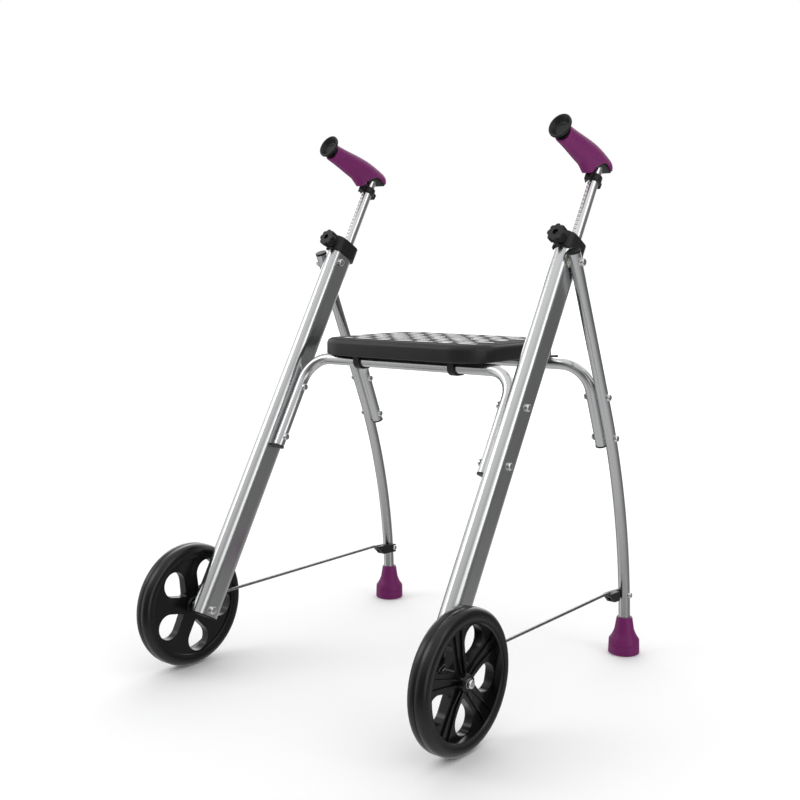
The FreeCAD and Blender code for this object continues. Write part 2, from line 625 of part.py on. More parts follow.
def seat_screw():
    """Screw through the strap's foot into the seat's pad."""
    start = Vector(CLIP_X, CROSSBAR.y + 21, SEAT_BOTTOM_Z - 0.02)
    head = rod(start.sub(Vector(0, 0, 5.4)), start.sub(Vector(0, 0, 3.22)), 3.8)
    return head.fuse(rod(start.sub(Vector(0, 0, 4)), start.add(Vector(0, 0, -0.02)), 1.95))


def seat_rest():
    """Block under the seat's rear with a lip that drops behind the rear crossbar."""
    top, _ = rear_u_ends()
    clear = TUBE_RADIUS + 0.35
    block = box(REST_X - 9, REST_X + 9, top.y, top.y + 42, top.z - 6, SEAT_BOTTOM_Z - 0.02)
    block = block.cut(cross_rod(REST_X - 10, REST_X + 10, top.y, top.z, clear))
    slope = Part.Face(Part.makePolygon([
        Vector(REST_X - 10, top.y + clear + 3, top.z - 7), Vector(REST_X - 10, top.y + 43, top.z - 7),
        Vector(REST_X - 10, top.y + 43, SEAT_BOTTOM_Z - 3), Vector(REST_X - 10, top.y + clear + 3, top.z - 7),
    ])).extrude(Vector(20, 0, 0))
    block = block.cut(slope)
    solids = sorted(block.Solids, key=lambda solid: solid.Volume)
    return solids[-1]


# Handles

def stem():
    """Bright tube that slides in the front leg, notched down its front."""
    tube = rod(on_leg(STEM_BOTTOM, STEM_DEPTH), on_leg(STEM_TOP, STEM_DEPTH), TUBE_RADIUS)
    tube = tube.cut(rod(on_leg(STEM_BOTTOM - 1, STEM_DEPTH), on_leg(STEM_TOP + 1, STEM_DEPTH),
                        TUBE_RADIUS - TUBE_WALL))
    pitch, notch_half = 7.3, 1.6
    count = int((786 - STEM_BOTTOM - 30) / pitch)
    for index in range(count):
        along = 786 - 6 - index * pitch
        notch = obround(9.0, 9.2, along - notch_half, along + notch_half, STEM_DEPTH - TUBE_RADIUS - 3.9)
        tube = tube.cut(notch)
    return tube


def stem_glide():
    """Plastic shoe on the stem's lower end that runs inside the leg."""
    clearance = 0.35
    width = FRONT_LEG_WIDTH - 2 * FRONT_LEG_WALL - 2 * clearance
    depth = FRONT_LEG_DEPTH - 2 * FRONT_LEG_WALL - 2 * clearance
    shoe = obround(width, depth, STEM_BOTTOM - 3, STEM_BOTTOM + 22)
    return shoe.cut(rod(on_leg(STEM_BOTTOM - 0.02, STEM_DEPTH), on_leg(STEM_BOTTOM + 30, STEM_DEPTH),
                        TUBE_RADIUS + 0.02))


def stem_liner():
    """Plastic guide in the leg's top end, round the stem."""
    width = FRONT_LEG_WIDTH - 2 * FRONT_LEG_WALL - 0.1
    depth = FRONT_LEG_DEPTH - 2 * FRONT_LEG_WALL - 0.1
    liner = obround(width, depth, 642, FRONT_LEG_TOP)
    return liner.cut(rod(on_leg(600, STEM_DEPTH), on_leg(700, STEM_DEPTH), TUBE_RADIUS + FIT))


def clamp_collar():
    """Moulded collar over the leg's top end, with a boss for the clamp knob."""
    collar = obround(FRONT_LEG_WIDTH + 6, FRONT_LEG_DEPTH + 10, COLLAR_FROM, COLLAR_TO, 0.5)
    boss = rod(on_leg(KNOB_ALONG, 0), on_leg(KNOB_ALONG, -32.5), 10.5)
    collar = collar.fuse(boss)
    leg_room = obround(FRONT_LEG_WIDTH + 0.06, FRONT_LEG_DEPTH + 0.06, COLLAR_FROM - 20, FRONT_LEG_TOP + 0.02)
    collar = collar.cut(leg_room)
    collar = collar.cut(rod(on_leg(600, STEM_DEPTH), on_leg(750, STEM_DEPTH), TUBE_RADIUS + FIT))
    collar = collar.cut(rod(on_leg(KNOB_ALONG, 0), on_leg(KNOB_ALONG, -60), STUD_RADIUS + FIT))
    relief = cross_rod(LEG_OUTER - 1, LEG_OUTER + 10, PIVOT.y, PIVOT.z, REAR_TOP_REACH)
    return collar.cut(relief)


STUD_RADIUS = 4.0
KNOB_LOBES = 8
KNOB_RADIUS = 15.3


def clamp_knob():
    """Eight-lobed knob with a recess in its face, on the front of the collar."""
    face = on_leg(KNOB_ALONG, -46.0)
    back = on_leg(KNOB_ALONG, -32.9)
    knob = rod(back, face, KNOB_RADIUS - 2.2)
    axis = face.sub(back)
    side = Vector(1, 0, 0)
    for index in range(KNOB_LOBES):
        turn = Rotation(axis, index * 360 / KNOB_LOBES)
        offset = turn.multVec(side) * (KNOB_RADIUS - 3.4)
        knob = knob.fuse(rod(back.add(offset), face.add(offset), 3.4))
    knob = knob.removeSplitter()
    knob = knob.cut(rod(on_leg(KNOB_ALONG, -42.0), on_leg(KNOB_ALONG, -50), 4.6))
    return knob.cut(rod(on_leg(KNOB_ALONG, -20), on_leg(KNOB_ALONG, -40), STUD_RADIUS + 0.02))


def clamp_stud():
    """Threaded stud moulded into the knob; its tip presses on the stem."""
    return rod(on_leg(KNOB_ALONG, -0.4), on_leg(KNOB_ALONG, -39.98), STUD_RADIUS)


def on_grip(along, lift=0.0, x=FRONT_LEG_X):
    """A point along the grip from its free end, and above its centre line."""
    y = GRIP_FRONT_Y + along * math.cos(GRIP_TILT) + lift * math.sin(GRIP_TILT)
    z = GRIP_FRONT_Z - along * math.sin(GRIP_TILT) + lift * math.cos(GRIP_TILT)
    return Vector(x, y, z)


def grip_direction():
    """Unit vector along the grip, from the free end to the stem."""
    return on_grip(1).sub(on_grip(0))


CORE_RADIUS = 11.5
GRIP_CORE_FROM = 9.0
SWELL = ((12.0, 15.4), (32.0, 16.2), (56.0, 18.2), (80.0, 20.2), (102.0, 20.8), (125.0, 19.6), (144.0, 17.6))


def grip_outline():
    """The sleeve's palm-swell outline as one smooth curve, then a round end."""
    curve = Part.BSplineCurve()
    curve.interpolate([on_grip(along, radius) for along, radius in SWELL])
    last_along, last_radius = SWELL[-1]
    shoulder = on_grip(GRIP_LENGTH - 5.3, last_radius * 0.72)
    end = on_grip(GRIP_LENGTH, 0)
    round_end = Part.Arc(on_grip(last_along, last_radius), shoulder, end).toShape()
    first_along, first_radius = SWELL[0]
    return Part.Wire([
        Part.makeLine(on_grip(first_along, 0), on_grip(first_along, first_radius)),
        curve.toShape(), round_end, Part.makeLine(end, on_grip(first_along, 0)),
    ])


ARCH_Y, ARCH_Z, ARCH_RADIUS = 200.0, 775.0, 31.0
CHIN_RADIUS = 12.0
CHIN_BOTTOM_Z = 790.4
UNDERSIDE_Z = 793.0


def chin():
    """The part of the sleeve that reaches down in front of the stem."""
    start = Vector(FRONT_LEG_X, 155.0, 818.4)
    end = Vector(FRONT_LEG_X, 190.0, 785.7)
    floor = box(FRONT_LEG_X - 40, FRONT_LEG_X + 40, 140, 260, 740, CHIN_BOTTOM_Z)
    return rod(start, end, CHIN_RADIUS).fuse(Part.makeSphere(CHIN_RADIUS, start)).cut(floor)


def underside_cut():
    """Arched space under the sleeve's rear, where the stem comes in."""
    wide = 40.0
    x = FRONT_LEG_X - wide
    arch = cross_rod(x, FRONT_LEG_X + wide, ARCH_Y, ARCH_Z, ARCH_RADIUS)
    corners = [Vector(x, ARCH_Y, 790.8), Vector(x, 262, 800.6), Vector(x, 262, 740), Vector(x, ARCH_Y, 740)]
    below = Part.Face(Part.makePolygon(corners + corners[:1])).extrude(Vector(2 * wide, 0, 0))
    return arch.fuse(below)


def grip_core():
    """Hard core inside the sleeve, with a socket for the stem."""
    core = rod(on_grip(GRIP_CORE_FROM), on_grip(GRIP_LENGTH - 8), CORE_RADIUS)
    core = core.cut(box(FRONT_LEG_X - 40, FRONT_LEG_X + 40, 150, 260, 740, UNDERSIDE_Z))
    bore = rod(on_leg(700, STEM_DEPTH), on_leg(STEM_TOP + 0.05, STEM_DEPTH), TUBE_RADIUS + 0.03)
    return core.cut(bore).removeSplitter()


def grip_sleeve():
    """Soft ergonomic sleeve over the core, open underneath at the stem."""
    sleeve = narrowed(Part.Face(grip_outline()).revolve(on_grip(0), grip_direction(), 360))
    sleeve = sleeve.fuse(chin())
    sleeve = sleeve.cut(rod(on_grip(0), on_grip(GRIP_LENGTH - 7.97), CORE_RADIUS + 0.03))
    sleeve = sleeve.cut(rod(on_leg(760, STEM_DEPTH), on_leg(STEM_TOP + 0.05, STEM_DEPTH), 14.0))
    sleeve = sleeve.cut(underside_cut())
    solids = sorted(sleeve.Solids, key=lambda solid: solid.Volume)
    return solids[-1]


def narrowed(shape):
    """A grip piece made oval by narrowing it across X."""
    squeeze = FreeCAD.Matrix()
    squeeze.A11 = GRIP_OVAL
    squeeze.A14 = FRONT_LEG_X * (1 - GRIP_OVAL)
    return shape.transformGeometry(squeeze)


def grip_ring():
    """Flared end ring at the grip's free end, hollow towards the front."""
    out = Vector(0, -math.cos(RING_TILT), math.sin(RING_TILT))
    front = Vector(FRONT_LEG_X, RING_FRONT_Y, RING_FRONT_Z)
    base = front.sub(out * 9)
    flared = Part.makeCone(15.0, RING_RADIUS, 5.5, base, out)
    flared = flared.fuse(rod(base.add(out * 5.5), front, RING_RADIUS))
    flared = bevelled(flared, 1.2, lambda e: e.CenterOfMass.sub(front).Length < 0.1 and e.Length > 100)
    ring = narrowed(flared.cut(Part.makeCone(11.5, RING_RADIUS - 3.0, 7.02, base.add(out * 2), out)))
    return ring.cut(rod(on_grip(GRIP_CORE_FROM - 1), on_grip(60), CORE_RADIUS + 0.03))


def side_tab(corners, half):
    """A flat tab from (along, depth) corners on the leg's middle plane."""
    points = [on_leg(along, depth, FRONT_LEG_X - half) for along, depth in corners]
    tab = Part.Face(Part.makePolygon(points + points[:1])).extrude(Vector(2 * half, 0, 0))
    return bevelled(tab, 1.2, lambda e: abs(e.BoundBox.XLength - 2 * half) < 0.01)


def grip_collar():
    """Collar round the stem under the grip, with a front hook and a rear lever."""
    collar = rod(on_leg(787, STEM_DEPTH), on_leg(797, STEM_DEPTH), 12.9)
    hook = side_tab([(797, -1), (798, -9), (782, -9), (781, -6), (789, -5), (789, -1)], 5.0)
    lever = side_tab([(797, 20), (796, 29), (785.5, 28), (788, 21)], 4.5)
    collar = collar.fuse(hook).fuse(lever)
    return collar.cut(rod(on_leg(700, STEM_DEPTH), on_leg(850, STEM_DEPTH), TUBE_RADIUS + 0.03))


def build():
    """Makes every sub-part and writes it out."""
    front_top = CROSSBAR
    front_end = on_leg(FRONT_U_END, 0, 0)
    rear_top, rear_end = rear_u_ends()
    save(u_tube(FRONT_U_X, front_top, front_end, front_u_points()), "front_u_frame")
    save(u_tube(REAR_U_X, rear_top, rear_end, REAR_BOLT_POINTS), "rear_u_frame")
    for name, x, top, end in (("front_u_end_plugs", FRONT_U_X, front_top, front_end),
                              ("rear_u_end_plugs", REAR_U_X, rear_top, rear_end)):
        plug = tube_plug(Vector(x, end.y, end.z), end.sub(top), x + TUBE_RADIUS)
        save(both(plug), name)
    groups = {
        "front_leg_end_plugs": both(front_leg_plug()), "front_u_bolts": front_u_bolt_group(),
        "front_u_nuts": front_u_nut_group(), "rear_u_bolts": rear_u_bolt_group(),
        "rear_u_nuts": rear_u_nut_group(), "axle_spacers": both(axle_spacer()),
        "axle_bolts": both(axle_bolt()), "axle_nuts": both(axle_nut()),
        "pivot_bolts": both(pivot_bolt()), "pivot_nuts": both(pivot_nut()),
        "pivot_bushes": both(pivot_bush()), "pivot_washers": both(pivot_washer()),
        "rear_leg_caps": both(rear_leg_cap()), "brace_brackets": both(brace_bracket()),
        "bracket_bolts": both(bracket_bolt()), "bracket_nuts": both(bracket_nut()),
        "seat_clips": both(seat_clip()), "seat_screws": both(seat_screw()),
        "seat_rests": both(seat_rest()), "stem_liners": both(stem_liner()),
    }
    for name, shape in groups.items():
        save(shape, name)
    save(seat_board(), "seat_board")
    pieces = {
        "front_leg": front_leg, "rear_leg": rear_leg, "ferrule": ferrule, "tyre": tyre,
        "wheel_hub": wheel_hub, "wheel_bush": wheel_bush, "clamp_collar": clamp_collar,
        "clamp_knob": clamp_knob, "clamp_stud": clamp_stud, "stem": stem, "stem_glide": stem_glide,
        "grip_core": grip_core, "grip_sleeve": grip_sleeve, "grip_ring": grip_ring,
        "grip_collar": grip_collar, "brace_rod": brace_rod,
    }
    for name, make in pieces.items():
        shape = make()
        for side, sign in SIDES.items():
            save(sided(shape, sign), name + "_" + side)


build()
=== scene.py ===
import json
import logging
import math
from dataclasses import dataclass
from enum import Enum
from typing import Callable, Iterable

import bmesh
import bpy
from mathutils import Matrix, Vector


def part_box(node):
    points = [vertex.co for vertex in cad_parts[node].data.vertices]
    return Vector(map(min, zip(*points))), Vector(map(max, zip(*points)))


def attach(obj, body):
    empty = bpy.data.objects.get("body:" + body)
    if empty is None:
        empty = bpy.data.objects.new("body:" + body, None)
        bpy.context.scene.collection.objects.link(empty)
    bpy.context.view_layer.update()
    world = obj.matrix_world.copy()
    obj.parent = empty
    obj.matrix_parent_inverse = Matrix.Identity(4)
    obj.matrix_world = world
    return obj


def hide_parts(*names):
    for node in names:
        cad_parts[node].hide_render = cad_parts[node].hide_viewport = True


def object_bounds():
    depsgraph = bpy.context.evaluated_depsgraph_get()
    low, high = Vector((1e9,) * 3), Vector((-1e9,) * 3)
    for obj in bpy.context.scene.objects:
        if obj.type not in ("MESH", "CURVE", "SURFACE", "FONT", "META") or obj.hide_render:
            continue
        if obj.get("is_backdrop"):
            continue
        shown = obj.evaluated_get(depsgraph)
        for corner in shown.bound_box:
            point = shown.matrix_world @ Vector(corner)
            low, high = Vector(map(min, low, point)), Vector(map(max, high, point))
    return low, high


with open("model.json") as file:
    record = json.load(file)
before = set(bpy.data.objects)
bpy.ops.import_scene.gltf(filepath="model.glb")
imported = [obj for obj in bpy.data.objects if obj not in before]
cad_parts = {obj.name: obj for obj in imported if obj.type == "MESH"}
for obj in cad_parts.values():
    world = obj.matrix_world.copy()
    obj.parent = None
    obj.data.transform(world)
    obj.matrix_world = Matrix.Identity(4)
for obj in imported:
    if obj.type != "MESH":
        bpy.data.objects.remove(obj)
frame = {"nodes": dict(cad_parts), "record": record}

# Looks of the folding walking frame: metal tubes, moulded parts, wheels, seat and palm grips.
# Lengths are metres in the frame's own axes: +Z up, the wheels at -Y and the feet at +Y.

LOG = logging.getLogger("walking_frame")
JOINTS = {joint["name"]: joint for joint in frame["record"]["behaviour"]["joints"]}
NODES = frame["nodes"]
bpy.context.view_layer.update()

LEG_LEAN = math.radians(29.9)
BEHIND_LEG = Vector((0.0, math.cos(LEG_LEAN), -math.sin(LEG_LEAN)))
ACROSS = Vector((1.0, 0.0, 0.0))

MERGE = 1e-7  # corners closer than this are one corner
NEAR = 1e-5  # an edge this close to a ring or a height lies on it
LEVEL = 1e-6  # ends of an edge this close in height are level

STREAK_SCALE = 900.0
STREAK_DETAIL = 4.0
STREAK_STRETCH = 0.012  # how far a streak is drawn out along its tube

Color = tuple[float, float, float]


class Side(Enum):
    """The two sides of the frame; the value is the sign of X."""
    LEFT = -1
    RIGHT = 1

    @property
    def label(self) -> str:
        """Name ending used by this side's nodes and bodies."""
        return self.name.lower()


# ---------------------------------------------------------------- shader maths

class Value:
    """A number that varies over a surface and takes part in Python arithmetic."""

    def __init__(self, graph: "Graph", socket: bpy.types.NodeSocket) -> None:
        """Keep the graph and the output socket that carries the number."""
        self.graph = graph
        self.socket = socket

    def _math(self, operation: str, *terms: "Value | float") -> "Value":
        """Add one Math node.

        Args:
            operation: The node's operation.
            terms: Its numbers or links, in order.

        Returns:
            The node's result.
        """
        node = self.graph.node("ShaderNodeMath", {"operation": operation}, dict(enumerate(terms)))
        return Value(self.graph, node.outputs[0])

    def __add__(self, other: "Value | float") -> "Value":
        """self + other."""
        return self._math("ADD", self, other)

    __radd__ = __add__

    def __sub__(self, other: "Value | float") -> "Value":
        """self - other."""
        return self._math("SUBTRACT", self, other)

    def __rsub__(self, other: float) -> "Value":
        """other - self."""
        return self._math("SUBTRACT", other, self)

    def __mul__(self, other: "Value | float") -> "Value":
        """self * other."""
        return self._math("MULTIPLY", self, other)

    __rmul__ = __mul__

    def below(self, limit: float) -> "Value":
        """1 where self is less than the limit."""
        return self._math("LESS_THAN", self, limit)

    def wrap(self, pitch: float) -> "Value":
        """The rest of self over a pitch, never negative."""
        return self._math("FLOORED_MODULO", self, pitch)

    def swing(self, amount: float) -> "Value":
        """Self as a change about zero, where 0 to 1 spans the amount."""
        return (self - 0.5) * amount

    def step(self, low: float, high: float) -> "Value":
        """Rise smoothly over a range.

        Args:
            low: Where the rise starts, at 0.
            high: Where it ends, at 1.

        Returns:
            The risen value.
        """
        node = self.graph.node("ShaderNodeMapRange", {"interpolation_type": "SMOOTHSTEP"},
                               {0: self, 1: low, 2: high, 3: 0.0, 4: 1.0})
        return Value(self.graph, node.outputs[0])


class Graph:
    """The node tree of one material, built one node at a time."""

    def __init__(self, tree: bpy.types.NodeTree) -> None:
        """Start from an empty tree."""
        self.tree = tree
        tree.nodes.clear()

    def node(self, kind: str, settings: dict | None = None,
             inputs: dict | None = None) -> bpy.types.Node:
        """Add a node.

        Args:
            kind: The node's type name.
            settings: Its properties, set first.
            inputs: Numbers, colours or links by socket name or place.

        Returns:
            The new node.
        """
        node = self.tree.nodes.new(kind)
        for name, setting in (settings or {}).items():
            setattr(node, name, setting)
        for key, value in (inputs or {}).items():
            source = value.socket if isinstance(value, Value) else value
            if isinstance(source, bpy.types.NodeSocket):
                self.tree.links.new(source, node.inputs[key])
            else:
                node.inputs[key].default_value = source
        return node

    def place(self) -> bpy.types.NodeSocket:
        """The point on the piece, in the frame's metres."""
        return self.node("ShaderNodeTexCoord").outputs["Object"]

    def turned(self, rotation: tuple, scale: tuple = (1, 1, 1)) -> bpy.types.NodeSocket:
        """The place turned first, then scaled.

        Args:
            rotation: Euler angles.
            scale: Scale of each turned axis.

        Returns:
            The changed place.
        """
        turn = self.node("ShaderNodeMapping", None,
                         {"Vector": self.place(), "Rotation": rotation})
        return self.node("ShaderNodeMapping", None,
                         {"Vector": turn.outputs[0], "Scale": scale}).outputs[0]

    def axes(self, vector: bpy.types.NodeSocket) -> tuple[Value, Value, Value]:
        """The three parts of a vector."""
        parts = self.node("ShaderNodeSeparateXYZ", None, {0: vector}).outputs
        return Value(self, parts[0]), Value(self, parts[1]), Value(self, parts[2])

    def noise(self, vector: bpy.types.NodeSocket, scale: float, detail: float = 3.0) -> Value:
        """Soft noise between 0 and 1."""
        node = self.node("ShaderNodeTexNoise", None,
                         {"Vector": vector, "Scale": scale, "Detail": detail})
        return Value(self, node.outputs["Fac"])

    def cells(self, vector: bpy.types.NodeSocket, scale: float) -> Value:
        """Distance to the nearest of many scattered points, for a moulded grain."""
        node = self.node("ShaderNodeTexVoronoi", None, {"Vector": vector, "Scale": scale})
        return Value(self, node.outputs["Distance"])

    def toward(self, direction: bpy.types.NodeSocket, target: Vector | tuple) -> Value:
        """How far a direction faces a target direction, 1 for straight at it."""
        facing = self.node("ShaderNodeVectorMath", {"operation": "DOT_PRODUCT"},
                           {0: direction, 1: target})
        return Value(self, facing.outputs["Value"])

    def colour(self, factor: Value, low: Color, high: Color) -> bpy.types.NodeSocket:
        """Colour between two colours.

        Args:
            factor: 0 gives low, 1 gives high.
            low: First colour.
            high: Second colour.

        Returns:
            The mixed colour.
        """
        mix = self.node("ShaderNodeMix", {"data_type": "RGBA"},
                        {0: factor, 6: (*low, 1.0), 7: (*high, 1.0)})
        return mix.outputs[2]

    def bump(self, height: Value, strength: float, depth: float) -> bpy.types.NodeSocket:
        """Normal bent by a height."""
        return self.node("ShaderNodeBump", None,
                         {"Height": height, "Strength": strength, "Distance": depth}).outputs[0]

    def surface(self, **inputs: object) -> None:
        """Finish with the surface shader.

        Args:
            inputs: Shader sockets by name, with spaces as underscores.
        """
        named = {name.replace("_", " "): value for name, value in inputs.items()}
        shader = self.node("ShaderNodeBsdfPrincipled", None, named)
        self.node("ShaderNodeOutputMaterial", None, {0: shader.outputs[0]})


# ---------------------------------------------------------------- finishes

@dataclass(frozen=True)
class Finish:
    """A named surface finish; each kind paints its own material once."""
    name: str

    def paint(self, graph: Graph) -> None:
        """Build the nodes."""
        raise NotImplementedError

    def material(self) -> bpy.types.Material:
        """Find the finish's material, or make it on first use.

        Returns:
            The material.
        """
        found = bpy.data.materials.get(self.name)
        if found:
            return found
        made = bpy.data.materials.new(self.name)
        made.use_nodes = True
        self.paint(Graph(made.node_tree))
        return made


@dataclass(frozen=True)
class DrawnMetal(Finish):
    """Drawn tube: fine streaks along its length and soft marks of handling."""
    dark: Color = (0.52, 0.525, 0.53)
    light: Color = (0.68, 0.685, 0.69)
    roughness: float = 0.22
    turn: tuple = (0.0, 0.0, 0.0)
    stretch: tuple = (1.0, 1.0, STREAK_STRETCH)
    mark_scale: float = 14.0
    streak_share: float = 0.6
    streak_rough: float = 0.12
    mark_rough: float = 0.10
    relief: float = 0.10
    relief_depth: float = 0.0002

    def paint(self, graph: Graph) -> None:
        """Drive colour, roughness and a faint relief with streaks.

        Args:
            graph: The material's empty node tree.
        """
        streaks = graph.noise(graph.turned(self.turn, self.stretch), STREAK_SCALE, STREAK_DETAIL)
        marks = graph.noise(graph.place(), self.mark_scale, 5.0)
        tone = streaks * self.streak_share + marks * (1 - self.streak_share)
        rough = self.roughness + streaks.swing(self.streak_rough) + marks.swing(self.mark_rough)
        graph.surface(Base_Color=graph.colour(tone, self.dark, self.light),
                      Metallic=1.0, Roughness=rough,
                      Normal=graph.bump(streaks, self.relief, self.relief_depth))


@dataclass(frozen=True)
class NotchedStem(Finish):
    """Bright drawn tube with a row of small latch notches down its front, darkened with painted
    shade.
    """
    centre_x: float
    front: float
    pitch: float = 0.0073
    half_width: float = 0.0022
    notch_share: float = 0.30
    bright: Color = (0.74, 0.74, 0.75)
    # The notch colour is painted shade, standing in for the shade inside the recessed notches.
    painted_shade: Color = (0.34, 0.34, 0.35)
    roughness: float = 0.17
    streak_rough: float = 0.1
    notch_rough: float = 0.25
    streak_relief: float = 0.04
    relief: float = 0.5
    relief_depth: float = 0.0006

    def paint(self, graph: Graph) -> None:
        """Sink the notches in bright metal, and darken them with painted shade.

        Args:
            graph: The material's empty node tree.
        """
        upright = (LEG_LEAN, 0.0, 0.0)
        x, depth, along = graph.axes(graph.turned(upright))
        streaks = graph.noise(graph.turned(upright, (1, 1, STREAK_STRETCH)),
                              STREAK_SCALE, STREAK_DETAIL)
        row = along.wrap(self.pitch).below(self.pitch * self.notch_share)
        across = (x - self.centre_x) * (x - self.centre_x)
        notch = row * across.below(self.half_width ** 2) * depth.below(self.front)
        rough = self.roughness + streaks * self.streak_rough + notch * self.notch_rough
        height = streaks * self.streak_relief - notch
        # Painted shade: the notches take the darker colour.
        graph.surface(Base_Color=graph.colour(notch, self.bright, self.painted_shade), Metallic=1.0,
                      Roughness=rough,
                      Normal=graph.bump(height, self.relief, self.relief_depth))


@dataclass(frozen=True)
class PlatedSteel(Finish):
    """Zinc-plated steel with a cloudy, slightly mottled sheen."""
    roughness: float = 0.28
    dark: Color = (0.42, 0.42, 0.43)
    light: Color = (0.68, 0.68, 0.69)
    cloud_scale: float = 160.0
    fine_scale: float = 1900.0
    cloud_rough: float = 0.2
    relief: float = 0.12
    relief_depth: float = 0.0001

    def paint(self, graph: Graph) -> None:
        """Make clouds of tone and roughness, with a fine relief.

        Args:
            graph: The material's empty node tree.
        """
        clouds = graph.noise(graph.place(), self.cloud_scale, 4.0)
        fine = graph.noise(graph.place(), self.fine_scale, 2.0)
        graph.surface(Base_Color=graph.colour(clouds, self.dark, self.light), Metallic=1.0,
                      Roughness=self.roughness + clouds.swing(self.cloud_rough),
                      Normal=graph.bump(fine, self.relief, self.relief_depth))


@dataclass(frozen=True)
class MouldedPlastic(Finish):
    """Black moulding with a fine spark-eroded grain."""
    dark: Color = (0.0045, 0.0045, 0.005)
    light: Color = (0.010, 0.010, 0.011)
    roughness: float = 0.46
    grain: float = 2600.0
    relief: float = 0.10
    slow_scale: float = 30.0
    slow_rough: float = 0.16
    grain_rough: float = 0.06
    shine: float = 0.38
    relief_depth: float = 0.00012

    def paint(self, graph: Graph) -> None:
        """Lay a grain relief over slow changes of tone and polish.

        Args:
            graph: The material's empty node tree.
        """
        slow = graph.noise(graph.place(), self.slow_scale, 4.0)
        grain = graph.cells(graph.place(), self.grain)
        rough = self.roughness + slow.swing(self.slow_rough) + grain.swing(self.grain_rough)
        graph.surface(Base_Color=graph.colour(slow, self.dark, self.light),
                      Roughness=rough, Specular_IOR_Level=self.shine,
                      Normal=graph.bump(grain, self.relief, self.relief_depth))


@dataclass(frozen=True)
class CorePlastic(Finish):
    """Hard grip core: black in front, and a greyer regrind at its rear plug."""
    rear_from: float = 0.18
    fade: float = 0.01
    black: Color = (0.002, 0.002, 0.002)
    regrind: Color = (0.030, 0.036, 0.031)
    cloud_scale: float = 60.0
    cloud_share: float = 0.4
    roughness: float = 0.5
    cloud_rough: float = 0.1
    shine: float = 0.3
    relief: float = 0.1
    relief_depth: float = 0.0001

    def paint(self, graph: Graph) -> None:
        """Change the tone along the core.

        Args:
            graph: The material's empty node tree.
        """
        _, along, _ = graph.axes(graph.place())
        slow = graph.noise(graph.place(), self.cloud_scale, 4.0)
        rear = along.step(self.rear_from - self.fade, self.rear_from + self.fade)
        tone = rear * ((1 - self.cloud_share) + slow * self.cloud_share)
        graph.surface(Base_Color=graph.colour(tone, self.black, self.regrind),
                      Roughness=self.roughness + slow * self.cloud_rough,
                      Specular_IOR_Level=self.shine,
                      Normal=graph.bump(slow, self.relief, self.relief_depth))


@dataclass(frozen=True)
class SeatPlastic(Finish):
    """Seat moulding: satin sides, and a duller ground between the raised tiles."""
    top: float
    ground_from: float = 0.0022
    ground_full: float = 0.0004
    dark: Color = (0.007, 0.007, 0.0075)
    light: Color = (0.014, 0.014, 0.015)
    slow_scale: float = 18.0
    grain: float = 1800.0
    roughness: float = 0.42
    ground_rough: float = 0.4
    slow_rough: float = 0.1
    shine: float = 0.4
    relief: float = 0.15
    relief_depth: float = 0.0001

    def paint(self, graph: Graph) -> None:
        """Make the flat top rougher than the rounded sides.

        Args:
            graph: The material's empty node tree.
        """
        _, _, height = graph.axes(graph.place())
        ground = height.step(self.top - self.ground_from, self.top - self.ground_full)
        slow = graph.noise(graph.place(), self.slow_scale, 4.0)
        grain = graph.cells(graph.place(), self.grain)
        rough = self.roughness + ground * self.ground_rough + slow.swing(self.slow_rough)
        graph.surface(Base_Color=graph.colour(slow, self.dark, self.light),
                      Roughness=rough, Specular_IOR_Level=self.shine,
                      Normal=graph.bump(grain, self.relief, self.relief_depth))


@dataclass(frozen=True)
class TyreRubber(Finish):
    """Smooth dark tyre with a soft bloom over a fine grain."""
    dark: Color = (0.003, 0.003, 0.0033)
    light: Color = (0.007, 0.007, 0.0075)
    bloom_scale: float = 22.0
    grain_scale: float = 1500.0
    roughness: float = 0.20
    bloom_rough: float = 0.12
    shine: float = 0.42
    relief: float = 0.05
    relief_depth: float = 0.0001

    def paint(self, graph: Graph) -> None:
        """Vary the polish with the bloom, and break the shine with a grain.

        Args:
            graph: The material's empty node tree.
        """
        bloom = graph.noise(graph.place(), self.bloom_scale, 5.0)
        grain = graph.noise(graph.place(), self.grain_scale, 2.0)
        graph.surface(Base_Color=graph.colour(bloom, self.dark, self.light),
                      Roughness=self.roughness + bloom * self.bloom_rough,
                      Specular_IOR_Level=self.shine,
                      Normal=graph.bump(grain, self.relief, self.relief_depth))


@dataclass(frozen=True)
class SoftGrip(Finish):
    """Soft coloured rubber: satin, with slow changes of tone and a fine leathery grain."""
    dark: Color = (0.130, 0.010, 0.090)
    light: Color = (0.185, 0.016, 0.128)
    roughness: float = 0.55
    slow_scale: float = 40.0
    grain: float = 1400.0
    fine_scale: float = 4200.0
    slow_share: float = 0.7
    grain_share: float = 0.6
    slow_rough: float = 0.12
    shine: float = 0.22
    relief: float = 0.06
    relief_depth: float = 0.0001

    def paint(self, graph: Graph) -> None:
        """Lay slow tone changes under a two-scale grain.

        Args:
            graph: The material's empty node tree.
        """
        slow = graph.noise(graph.place(), self.slow_scale, 4.0)
        grain = graph.cells(graph.place(), self.grain)
        fine = graph.noise(graph.place(), self.fine_scale, 2.0)
        tone = slow * self.slow_share + fine * (1 - self.slow_share)
        height = grain * self.grain_share + fine * (1 - self.grain_share)
        graph.surface(Base_Color=graph.colour(tone, self.dark, self.light),
                      Roughness=self.roughness + slow.swing(self.slow_rough),
                      Specular_IOR_Level=self.shine,
                      Normal=graph.bump(height, self.relief, self.relief_depth))


